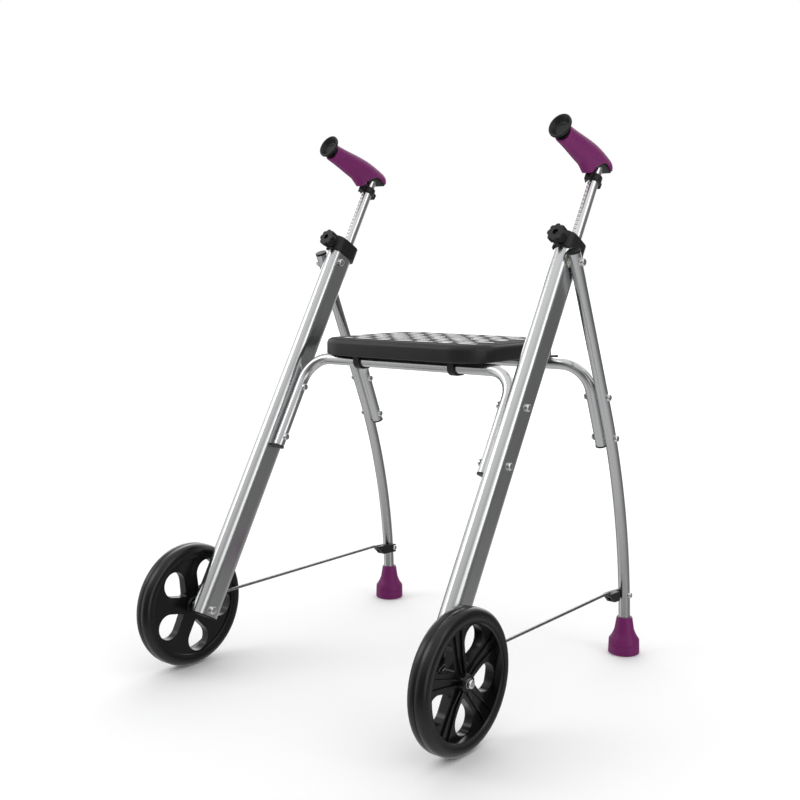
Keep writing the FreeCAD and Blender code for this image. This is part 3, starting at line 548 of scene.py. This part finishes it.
@dataclass(frozen=True)
class Nylon(Finish):
    """Natural nylon, slightly waxy."""
    dark: Color = (0.58, 0.56, 0.50)
    light: Color = (0.72, 0.70, 0.64)
    cloud_scale: float = 60.0
    roughness: float = 0.38
    cloud_rough: float = 0.12
    relief: float = 0.1
    relief_depth: float = 0.0002

    def paint(self, graph: Graph) -> None:
        """Make a warm white with faint clouds.

        Args:
            graph: The material's empty node tree.
        """
        slow = graph.noise(graph.place(), self.cloud_scale, 4.0)
        graph.surface(Base_Color=graph.colour(slow, self.dark, self.light),
                      Roughness=self.roughness + slow * self.cloud_rough,
                      Normal=graph.bump(slow, self.relief, self.relief_depth))


@dataclass(frozen=True)
class StudioFloor(Finish):
    """Plain pale floor that fades into the backdrop with distance."""
    dark: Color = (0.93, 0.93, 0.93)
    light: Color = (0.95, 0.95, 0.95)
    near_glow: Color = (0.05, 0.05, 0.05)
    far_glow: Color = (1.0, 1.0, 1.0)
    near: float = 0.6
    far: float = 3.5
    glow: float = 0.45
    unevenness: float = 1.5
    roughness: float = 0.6

    def paint(self, graph: Graph) -> None:
        """Make it almost white, with the faintest unevenness, and glow far away.

        Args:
            graph: The material's empty node tree.
        """
        slow = graph.noise(graph.place(), self.unevenness, 3.0)
        length = graph.node("ShaderNodeVectorMath", {"operation": "LENGTH"}, {0: graph.place()})
        far = Value(graph, length.outputs["Value"]).step(self.near, self.far)
        graph.surface(Base_Color=graph.colour(slow, self.dark, self.light),
                      Roughness=self.roughness, Specular_IOR_Level=0.0,
                      Emission_Strength=self.glow,
                      Emission_Color=graph.colour(far, self.near_glow, self.far_glow))


LEG_METAL = DrawnMetal("leg_metal", turn=(LEG_LEAN, 0.0, 0.0))
TUBE_METAL = DrawnMetal("tube_metal")
CROSS_METAL = DrawnMetal("cross_metal", stretch=(STREAK_STRETCH, 1.0, 1.0))
ZINC = PlatedSteel("zinc_steel")
DARK_WIRE = PlatedSteel("wire_steel", dark=(0.16, 0.16, 0.165), light=(0.34, 0.34, 0.35))
BRIGHT_NUT = PlatedSteel("bright_nut", roughness=0.18,
                         dark=(0.62, 0.62, 0.63), light=(0.8, 0.8, 0.8))
BLACK_MOULDING = MouldedPlastic("black_moulding")
GLOSS_MOULDING = MouldedPlastic("gloss_moulding", roughness=0.24, relief=0.08,
                                dark=(0.003, 0.003, 0.0034), light=(0.006, 0.006, 0.0065))
TILE_GLOSS = MouldedPlastic("tile_gloss", roughness=0.2, relief=0.06,
                            dark=(0.018, 0.018, 0.019), light=(0.03, 0.03, 0.032))
GREY_CORE = CorePlastic("grey_core")
RUBBER = TyreRubber("tyre_rubber")
GRIP_RUBBER = SoftGrip("grip_rubber")
FOOT_RUBBER = SoftGrip("foot_rubber", roughness=0.42)
NYLON = Nylon("natural_nylon")
FLOOR = StudioFloor("studio_floor")


# ---------------------------------------------------------------- mesh making

class Shape:
    """One piece in the making: a bmesh shaped by operators, then placed and finished."""

    def __init__(self) -> None:
        """Start empty."""
        self.mesh = bmesh.new()

    def spin(self, profile: Iterable[tuple[float, float]], steps: int) -> "Shape":
        """Turn a closed or pole-to-pole profile right round the Z axis.

        Args:
            profile: Corners as (radius, height).
            steps: Steps in the full turn.

        Returns:
            This shape.
        """
        points = list(profile)
        verts = [self.mesh.verts.new((radius, 0.0, height)) for radius, height in points]
        closed = points[0][0] > 0 and points[-1][0] > 0
        pairs = list(zip(verts, verts[1:]))
        if closed:
            pairs.append((verts[-1], verts[0]))
        edges = [self.mesh.edges.new(pair) for pair in pairs]
        bmesh.ops.spin(self.mesh, geom=verts + edges, cent=(0, 0, 0), axis=(0, 0, 1),
                       dvec=(0, 0, 0), angle=math.tau, steps=steps, use_merge=True)
        bmesh.ops.remove_doubles(self.mesh, verts=self.mesh.verts, dist=MERGE)
        return self

    def slab(self, size: Vector, centre: Vector) -> "Shape":
        """Add a block.

        Args:
            size: Its full size along each axis.
            centre: Its middle.

        Returns:
            This shape.
        """
        matrix = Matrix.Translation(centre) @ Matrix.Diagonal((*size, 1.0))
        bmesh.ops.create_cube(self.mesh, size=1.0, matrix=matrix)
        return self

    def bevel(self, test: Callable[[bmesh.types.BMEdge], bool], width: float,
              segments: int) -> "Shape":
        """Round every edge that passes a test.

        Args:
            test: Says whether an edge is rounded.
            width: How far back the rounding starts.
            segments: Steps across the rounding.

        Returns:
            This shape.
        """
        edges = [edge for edge in self.mesh.edges if test(edge)]
        bmesh.ops.bevel(self.mesh, geom=edges, offset=width, segments=segments, profile=0.5,
                        affect="EDGES", clamp_overlap=True, material=-1)
        return self

    def put(self, matrix: Matrix) -> "Shape":
        """Move the whole shape."""
        self.mesh.transform(matrix)
        return self

    def finish(self, name: str, body: str, finish: Finish, stands_for: tuple[str, ...] = (),
               smooth: float = 38.0) -> bpy.types.Object:
        """Turn the shape into a finished object.

        Args:
            name: The piece's name.
            body: The body it rides on.
            finish: Its surface finish.
            stands_for: CAD nodes it replaces.
            smooth: Angle in degrees past which an edge stays crisp.

        Returns:
            The new object.
        """
        bmesh.ops.remove_doubles(self.mesh, verts=self.mesh.verts, dist=MERGE)
        bmesh.ops.recalc_face_normals(self.mesh, faces=self.mesh.faces)
        data = bpy.data.meshes.new(name)
        self.mesh.to_mesh(data)
        self.mesh.free()
        for polygon in data.polygons:
            polygon.use_smooth = True
        data.set_sharp_from_angle(angle=math.radians(smooth))
        piece = bpy.data.objects.new(name, data)
        bpy.context.scene.collection.objects.link(piece)
        data.materials.append(finish.material())
        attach(piece, body)
        if stands_for:
            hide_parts(*stands_for)
        LOG.info("%s: %d faces on %s", name, len(data.polygons), body)
        return piece


def frame_to(origin: Vector, axis: Vector) -> Matrix:
    """A placement that takes the Z axis at the origin to an axis at a point."""
    return Matrix.Translation(origin) @ axis.to_track_quat("Z", "Y").to_matrix().to_4x4()


def middle(node: str) -> Vector:
    """Middle of a CAD node's box."""
    low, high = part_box(node)
    return (low + high) / 2


def dress(finish: Finish, *names: str) -> None:
    """Give CAD nodes a finish.

    Args:
        finish: The finish.
        names: The nodes.
    """
    for name in names:
        slots = NODES[name].data.materials
        slots.clear()
        slots.append(finish.material())
    LOG.info("%s on %s", finish.name, ", ".join(names))


# ---------------------------------------------------------------- sub-assemblies

@dataclass
class Wheel:
    """A front wheel: a round-shouldered tyre on a five-spoke moulded hub."""
    side: Side
    radius: float = 0.1
    inner_radius: float = 0.084
    width: float = 0.031
    shoulder: float = 0.0098
    shoulder_steps: int = 9
    groove_half: float = 0.0011
    groove_depth: float = 0.0012
    groove_floor_share: float = 0.4
    groove_round: float = 0.0005
    bead_round: float = 0.0006
    steps: int = 144
    crisp: float = 50.0

    def on_ring(self, edge: bmesh.types.BMEdge, radius: float, height: float) -> bool:
        """Tell whether an edge runs round the ring.

        Args:
            edge: The edge.
            radius: The ring's radius.
            height: The ring's height above or below the middle.

        Returns:
            True for an edge of the ring.
        """
        level = abs(edge.verts[0].co.z - edge.verts[1].co.z) < LEVEL
        return level and all(abs(math.hypot(v.co.x, v.co.y) - radius) < NEAR
                             and abs(abs(v.co.z) - height) < NEAR for v in edge.verts)

    def tyre(self) -> None:
        """Spin the tyre's section, round its shoulders and soften the tread groove."""
        half, groove = self.width / 2, self.groove_half
        floor, floor_half = self.radius - self.groove_depth, groove * self.groove_floor_share
        section = [(self.inner_radius, -half), (self.radius, -half), (self.radius, -groove),
                   (floor, -floor_half), (floor, floor_half),
                   (self.radius, groove), (self.radius, half), (self.inner_radius, half)]
        shape = Shape().spin(section, self.steps)
        shape.bevel(lambda edge: self.on_ring(edge, self.radius, half),
                    self.shoulder, self.shoulder_steps)
        shape.bevel(lambda edge: self.on_ring(edge, self.radius, groove), self.groove_round, 2)
        shape.bevel(lambda edge: self.on_ring(edge, self.inner_radius, half), self.bead_round, 2)
        label = self.side.label
        shape.put(frame_to(Vector(JOINTS["wheel_spin_" + label]["pos_m"]), ACROSS))
        shape.finish("wheel_tyre_" + label, "wheel_" + label, RUBBER, ("tyre_" + label,),
                     self.crisp)

    def build(self) -> None:
        """Make the tyre and dress the hub."""
        self.tyre()
        dress(GLOSS_MOULDING, "wheel_hub_" + self.side.label)
        dress(NYLON, "wheel_bush_" + self.side.label)


@dataclass
class RearFoot:
    """A bell-shaped rubber foot on a rear leg.

    The skirt is listed as (depth inside the base radius, height) and runs over the moulded
    ring; the bell is listed as (radius, height).
    """
    side: Side
    base_radius: float = 0.026
    base_round: float = 0.0018
    skirt: tuple = ((0.0003, 0.0150), (0.0009, 0.0155), (0.0009, 0.0163), (0.0004, 0.0168),
                    (0.0007, 0.0240))
    bell: tuple = ((0.0215, 0.0295), (0.0188, 0.0345), (0.0163, 0.0410))
    height: float = 0.062
    neck_radius: float = 0.0128
    neck_swell: float = 0.0004
    neck_taper: float = 0.0006
    lip: float = 0.0015
    socket_radius: float = 0.00965
    socket_floor: float = 0.012
    steps: int = 72
    crisp: float = 35.0

    def build(self) -> None:
        """Spin the bell with its moulded ring, and hollow its socket."""
        base = self.base_radius
        section = [(0.0, 0.0), (base - self.base_round, 0.0), (base, self.base_round)]
        section += [(base - depth, height) for depth, height in self.skirt]
        section += list(self.bell)
        section += [(self.neck_radius + self.neck_swell, self.height - self.lip),
                    (self.neck_radius - self.neck_taper, self.height),
                    (self.socket_radius, self.height), (self.socket_radius, self.socket_floor),
                    (0.0, self.socket_floor)]
        label = self.side.label
        low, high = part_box("ferrule_" + label)
        shape = Shape().spin(section, self.steps)
        shape.put(Matrix.Translation(((low.x + high.x) / 2, (low.y + high.y) / 2, low.z)))
        shape.finish("rear_foot_" + label, "rear_frame", FOOT_RUBBER, ("ferrule_" + label,),
                     self.crisp)


@dataclass
class ClampKnob:
    """The eight-lobed hand knob in front of a height clamp."""
    side: Side
    radius: float = 0.0153
    depth: float = 0.0131
    lobes: int = 8
    columns_per_lobe: int = 12
    valley: float = 0.0024
    valley_sharpness: float = 1.6
    rim_share: float = 0.8
    hole: float = 0.0046
    hole_depth: float = 0.004
    face_share: float = 0.72
    face_round: float = 0.0012
    face_drop: float = 0.0002
    edge_drop: float = 0.0016
    crisp: float = 40.0

    def carve(self, shape: Shape) -> None:
        """Draw the rim in between the lobes.

        Args:
            shape: The spun knob, changed in place.
        """
        for vert in shape.mesh.verts:
            if math.hypot(vert.co.x, vert.co.y) <= self.radius * self.rim_share:
                continue
            wave = math.cos(self.lobes * math.atan2(vert.co.y, vert.co.x))
            share = (0.5 - 0.5 * wave) ** self.valley_sharpness
            shrink = 1.0 - self.valley / self.radius * share
            vert.co.x *= shrink
            vert.co.y *= shrink

    def build(self) -> None:
        """Spin the knob's body, then carve its lobes."""
        half, shoulder = self.depth / 2, self.radius - self.face_round
        section = [(0.0, half - self.hole_depth), (self.hole, half - self.hole_depth),
                   (self.hole, half), (self.radius * self.face_share, half),
                   (shoulder, half - self.face_drop), (self.radius, half - self.edge_drop),
                   (self.radius, 0.0), (self.radius, self.edge_drop - half),
                   (shoulder, -half), (0.0, -half)]
        shape = Shape().spin(section, self.lobes * self.columns_per_lobe)
        self.carve(shape)
        label = self.side.label
        shape.put(frame_to(middle("clamp_knob_" + label), -BEHIND_LEG))
        shape.finish("hand_knob_" + label, "knob_" + label, BLACK_MOULDING,
                     ("clamp_knob_" + label,), self.crisp)


@dataclass
class PalmGrip:
    """A height-adjustable handle: soft sleeve, end ring, collar and notched stem."""
    side: Side
    voxel: float = 0.0008
    smoothing: int = 14
    smoothing_factor: float = 0.5
    notch_reach: float = 0.0040
    crisp: float = 60.0

    def sleeve(self) -> None:
        """Remake the sleeve as one soft skin with its edges rolled over."""
        label = self.side.label
        node = "grip_sleeve_" + label
        data = NODES[node].data.copy()
        holder = bpy.data.objects.new("holder", data)
        bpy.context.scene.collection.objects.link(holder)
        shape = Shape()
        shape.mesh.from_mesh(data)
        bmesh.ops.remove_doubles(shape.mesh, verts=shape.mesh.verts, dist=NEAR)
        shape.mesh.to_mesh(data)
        remesh = holder.modifiers.new("remesh", "REMESH")
        remesh.mode = "VOXEL"
        remesh.voxel_size = self.voxel
        graph = bpy.context.evaluated_depsgraph_get()
        skin = bpy.data.meshes.new_from_object(holder.evaluated_get(graph))
        shape.mesh.clear()
        shape.mesh.from_mesh(skin)
        bpy.data.objects.remove(holder)
        for _ in range(self.smoothing):
            bmesh.ops.smooth_vert(shape.mesh, verts=shape.mesh.verts,
                                  factor=self.smoothing_factor,
                                  use_axis_x=True, use_axis_y=True, use_axis_z=True)
        shape.finish("soft_sleeve_" + label, "handle_" + label, GRIP_RUBBER, (node,), self.crisp)

    def stem(self) -> None:
        """Dress the stem, with its notches on the side that faces forward."""
        label = self.side.label
        centre = middle("stem_" + label)
        depth = centre.y * math.cos(LEG_LEAN) - centre.z * math.sin(LEG_LEAN)
        dress(NotchedStem("stem_metal_" + label, centre.x, depth - self.notch_reach),
              "stem_" + label)

    def build(self) -> None:
        """Make the sleeve and dress the hard parts."""
        self.sleeve()
        label = self.side.label
        dress(BLACK_MOULDING, "grip_ring_" + label, "grip_collar_" + label,
              "stem_glide_" + label)
        dress(GREY_CORE, "grip_core_" + label)
        self.stem()


@dataclass
class Seat:
    """The moulded seat board with rows of raised glossy tiles, its clips and its rests."""
    tile: tuple = (0.031, 0.0145, 0.0012)
    gap: tuple = (0.0105, 0.0085)
    tile_sink: float = 0.28
    tile_round: float = 0.0007
    odd_every: int = 3
    odd_shares: tuple = (0.62, 1.28)
    margin: float = 0.022
    corner: float = 0.056
    corner_steps: int = 14
    top_round: float = 0.009
    base_round: float = 0.0025
    skin: float = 0.003
    tile_crisp: float = 50.0
    board_crisp: float = 35.0

    def inside(self, x: float, y: float, low: Vector, high: Vector) -> bool:
        """Tell whether a tile's middle lies within the board's rounded outline.

        Args:
            x: The middle across the frame.
            y: The middle along the frame.
            low: The board's low corner.
            high: The board's high corner.

        Returns:
            True for a tile that is laid.
        """
        reach_x = abs(x - (low.x + high.x) / 2) - ((high.x - low.x) / 2 - self.corner)
        reach_y = abs(y - (low.y + high.y) / 2) - ((high.y - low.y) / 2 - self.corner)
        return math.hypot(max(reach_x, 0.0), max(reach_y, 0.0)) < self.corner - self.margin

    def tiles(self) -> None:
        """Lay the tiles in staggered rows, each one with a rounded top edge."""
        low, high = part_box("seat_board")
        length, depth, rise = self.tile
        pitch_x, pitch_y = length + self.gap[0], depth + self.gap[1]
        shape = Shape()
        rows = int((high.y - low.y) / pitch_y)
        columns = int((high.x - low.x) / pitch_x) + 1
        for row in range(-rows // 2, rows // 2 + 1):
            for column in range(-columns // 2 - 1, columns // 2 + 2):
                x = (column + 0.5 * (row % 2)) * pitch_x
                y = (low.y + high.y) / 2 + row * pitch_y
                if not self.inside(x, y, low, high):
                    continue
                odd = (2 * row + column) % self.odd_every == 0
                wide, deep = self.odd_shares if odd else (1.0, 1.0)
                shape.slab(Vector((length * wide, depth * deep, rise)),
                           Vector((x, y, high.z + rise * self.tile_sink)))
        shape.bevel(lambda edge: all(vert.co.z > high.z for vert in edge.verts),
                    self.tile_round, 2)
        shape.finish("seat_tiles", "seat", TILE_GLOSS, (), self.tile_crisp)

    def board(self) -> None:
        """Round the board's corners and edges, then hollow it from beneath."""
        low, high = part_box("seat_board")
        shape = Shape().slab(high - low, (low + high) / 2)

        def around(edge: bmesh.types.BMEdge, height: float) -> bool:
            """True for an edge that lies at a height."""
            return all(abs(vert.co.z - height) < NEAR for vert in edge.verts)

        shape.bevel(lambda edge: not (around(edge, high.z) or around(edge, low.z)),
                    self.corner, self.corner_steps)
        shape.bevel(lambda edge: around(edge, high.z), self.top_round, 7)
        shape.bevel(lambda edge: around(edge, low.z), self.base_round, 3)
        under = [face for face in shape.mesh.faces if face.normal.z < -0.99]
        bmesh.ops.inset_region(shape.mesh, faces=under, thickness=self.skin,
                               use_even_offset=True)
        pushed = bmesh.ops.extrude_face_region(shape.mesh, geom=under)
        verts = [item for item in pushed["geom"] if isinstance(item, bmesh.types.BMVert)]
        bmesh.ops.translate(shape.mesh, verts=verts,
                            vec=(0, 0, high.z - low.z - 2 * self.skin))
        bmesh.ops.delete(shape.mesh, geom=under, context="FACES")
        shape.finish("moulded_seat", "seat", SeatPlastic("seat_plastic", high.z),
                     ("seat_board",), self.board_crisp)

    def build(self) -> None:
        """Make the board, lay the tiles and dress the fittings."""
        self.board()
        self.tiles()
        dress(BLACK_MOULDING, "seat_clips", "seat_rests")
        dress(ZINC, "seat_screws")


@dataclass
class TubeFrame:
    """The front and rear tube frames, with their bolts, plugs and clamps."""
    legs: tuple = ("front_leg_left", "front_leg_right")
    uprights: tuple = ("rear_leg_left", "rear_leg_right")
    crossbars: tuple = ("front_u_frame", "rear_u_frame")
    mouldings: tuple = ("front_leg_end_plugs", "front_u_end_plugs", "rear_u_end_plugs",
                        "rear_leg_caps", "clamp_collar_left", "clamp_collar_right",
                        "stem_liners", "axle_spacers", "brace_brackets")
    bright: tuple = ("front_u_nuts", "rear_u_nuts", "axle_nuts", "pivot_nuts", "bracket_nuts",
                     "axle_bolts", "bracket_bolts", "pivot_bolts", "front_u_bolts",
                     "rear_u_bolts")
    studs: tuple = ("clamp_stud_left", "clamp_stud_right")
    wires: tuple = ("brace_rod_left", "brace_rod_right")
    bearings: tuple = ("pivot_bushes", "pivot_washers")

    def build(self) -> None:
        """Dress the tubes along their draw direction, and the fittings by kind."""
        dress(LEG_METAL, *self.legs)
        dress(TUBE_METAL, *self.uprights)
        dress(CROSS_METAL, *self.crossbars)
        dress(BLACK_MOULDING, *self.mouldings)
        dress(BRIGHT_NUT, *self.bright)
        dress(ZINC, *self.studs)
        dress(DARK_WIRE, *self.wires)
        dress(NYLON, *self.bearings)


# ---------------------------------------------------------------- studio

@dataclass(frozen=True)
class SoftBox:
    """One soft studio light."""
    name: str
    place: tuple
    size: tuple
    power: float

    def hang(self, target: Vector) -> None:
        """Hang the light.

        Args:
            target: What it points at.
        """
        data = bpy.data.lights.new(self.name, "AREA")
        data.shape = "RECTANGLE"
        data.size, data.size_y = self.size
        data.energy = self.power
        lamp = bpy.data.objects.new(self.name, data)
        place = Vector(self.place)
        lamp.matrix_world = frame_to(place, place - target)
        bpy.context.scene.collection.objects.link(lamp)


@dataclass
class Studio:
    """Floor, soft lights, reflected room and the camera.

    A glow in the room is listed as (direction, where it starts, where it is full, power).
    """
    azimuth: float = 38.96
    elevation: float = 6.87
    distance: float = 1.7786
    lens: float = 50.29
    sensor: float = 36.0
    floor_size: float = 40.0
    floor_drop: float = 0.0003
    room: float = 0.17
    ceiling: tuple = (0.15, 0.9, 0.82)
    ground: tuple = (0.15, 0.7, 0.5)
    glows: tuple = (((-0.9, -0.43, 0.1), 0.78, 0.99, 0.95), ((0.98, -0.2, 0.1), 0.88, 0.99, 1.2),
                    ((-0.2, 0.98, -0.1), 0.93, 0.995, 0.5))
    backdrop: tuple = ((-0.63, 0.777, 0.1), 0.6, 0.95, 2.1)
    horizon: tuple = (0.0, 0.09)
    target: tuple = (0.0, 0.0, 0.4)
    boxes: tuple = (SoftBox("key_softbox", (-2.2, -2.0, 2.6), (1.6, 1.6), 18.0),
                    SoftBox("fill_softbox", (2.8, 0.2, 1.8), (0.8, 2.4), 9.0),
                    SoftBox("back_softbox", (-0.4, 2.8, 2.2), (2.4, 1.0), 7.0))

    def floor(self) -> None:
        """A wide flat floor just under the lowest point."""
        mesh = bmesh.new()
        low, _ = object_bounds()
        bmesh.ops.create_grid(mesh, x_segments=8, y_segments=8, size=self.floor_size,
                              matrix=Matrix.Translation((0, 0, low[2] - self.floor_drop)))
        data = bpy.data.meshes.new("studio_floor")
        mesh.to_mesh(data)
        mesh.free()
        data.materials.append(FLOOR.material())
        floor = bpy.data.objects.new("studio_floor", data)
        bpy.context.scene.collection.objects.link(floor)
        floor.visible_glossy = False
        floor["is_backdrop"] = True

    def surroundings(self) -> None:
        """White backdrop for the eye, softer grey room for reflections."""
        world = bpy.data.worlds.new("studio")
        world.use_nodes = True
        bpy.context.scene.world = world
        graph = Graph(world.node_tree)
        direction = graph.node("ShaderNodeTexCoord").outputs["Generated"]
        _, _, up = graph.axes(direction)
        above, under = self.ceiling, self.ground
        glow = (self.room + up.step(above[0], above[1]) * above[2]
                + (0 - up).step(under[0], under[1]) * under[2])
        for toward, low, high, power in self.glows:
            facing = graph.toward(direction, Vector(toward).normalized())
            glow = glow + facing.step(low, high) * power
        toward, low, high, power = self.backdrop
        facing = graph.toward(direction, toward)
        glow = glow + facing.step(low, high) * up.step(*self.horizon) * power
        seen = Value(graph, graph.node("ShaderNodeLightPath").outputs["Is Camera Ray"])
        strength = glow * (1 - seen) + seen
        back = graph.node("ShaderNodeBackground", None, {0: (1.0, 1.0, 1.0, 1.0), 1: strength})
        graph.node("ShaderNodeOutputWorld", None, {0: back.outputs[0]})
        bpy.context.scene.view_settings.view_transform = "Standard"

    def camera(self) -> None:
        """Aim the camera at the middle of the frame's box."""
        low, high = (Vector(corner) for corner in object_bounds())
        turn, tilt = math.radians(self.azimuth), math.radians(self.elevation)
        away = Vector((math.sin(turn) * math.cos(tilt), -math.cos(turn) * math.cos(tilt),
                       math.sin(tilt)))
        data = bpy.data.cameras.new("camera")
        data.lens = self.lens
        data.sensor_width = self.sensor
        data.dof.use_dof = False
        camera = bpy.data.objects.new("camera", data)
        camera.matrix_world = frame_to((low + high) / 2 + away * self.distance, away)
        bpy.context.scene.collection.objects.link(camera)
        bpy.context.scene.camera = camera

    def build(self) -> None:
        """Set up the whole studio."""
        self.floor()
        self.surroundings()
        self.camera()
        for box in self.boxes:
            box.hang(Vector(self.target))


def main() -> None:
    """Build every sub-assembly in order."""
    logging.basicConfig(level=logging.INFO, format="%(name)s %(message)s")
    Studio().build()
    TubeFrame().build()
    Seat().build()
    for side in Side:
        Wheel(side).build()
        RearFoot(side).build()
        ClampKnob(side).build()
        PalmGrip(side).build()


if __name__ == "__main__":
    main()
